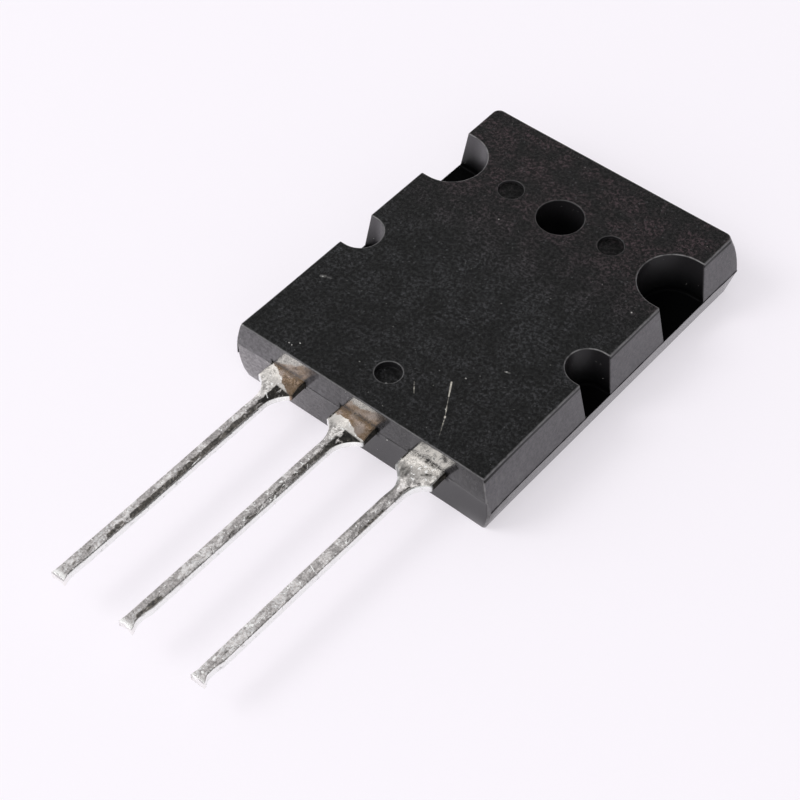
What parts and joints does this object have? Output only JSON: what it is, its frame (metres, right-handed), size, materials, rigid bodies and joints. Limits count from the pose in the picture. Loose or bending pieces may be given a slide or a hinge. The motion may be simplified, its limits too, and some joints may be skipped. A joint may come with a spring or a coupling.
{
  "type": "power transistor",
  "caption": "Through-hole power transistor: flat black moulded body with a mounting hole and rounded side notches, a metal heat-sink back and straight flat leads.",
  "frame": {"origin": "centre of the mounting hole, on the heat-sink face", "axes": "+Z out of the moulded top, away from the heat sink; +Y from the leads towards the hole; +X from the base lead to the emitter lead"},
  "size_m": [0.02, 0.0466, 0.005],
  "materials": {
    "moulding_compound": "satin",
    "tinned_copper": "satin",
    "silicon": "gloss",
    "solder": "satin",
    "bond_wire": "satin"
  },
  "bodies": {
    "root": {"moulded_body": "moulding_compound", "collector_frame": "tinned_copper", "base_lead": "tinned_copper", "emitter_lead": "tinned_copper", "silicon_die": "silicon", "die_attach_solder": "solder", "base_bond_wire": "bond_wire", "emitter_bond_wire_1": "bond_wire", "emitter_bond_wire_2": "bond_wire"}
  },
  "joints": []
}
